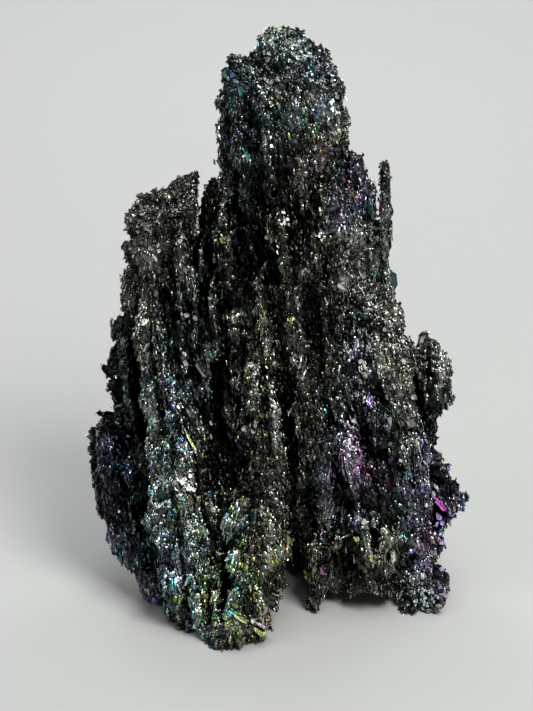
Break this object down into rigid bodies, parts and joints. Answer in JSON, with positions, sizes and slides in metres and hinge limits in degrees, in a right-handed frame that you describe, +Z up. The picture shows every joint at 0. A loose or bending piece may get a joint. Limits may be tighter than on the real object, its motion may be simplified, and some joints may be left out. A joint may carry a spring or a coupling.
{
  "type": "iridescent crystal cluster specimen",
  "caption": "Upright cluster of black, glittering crystal columns with a tall domed tower, stepped shoulders, open clefts and feet cut flat to stand on, tinted with rainbow colours.",
  "frame": {"origin": "middle of the bounding box's bottom, in the plane of the flat feet", "axes": "+Z up along the tower, -Y towards the front, +X to the right seen from the front"},
  "size_m": [0.058, 0.0352, 0.09],
  "materials": {
    "crystal": "glossy black crystal faces with thin rainbow tarnish"
  },
  "bodies": {
    "root": {"specimen": "crystal"}
  },
  "joints": []
}
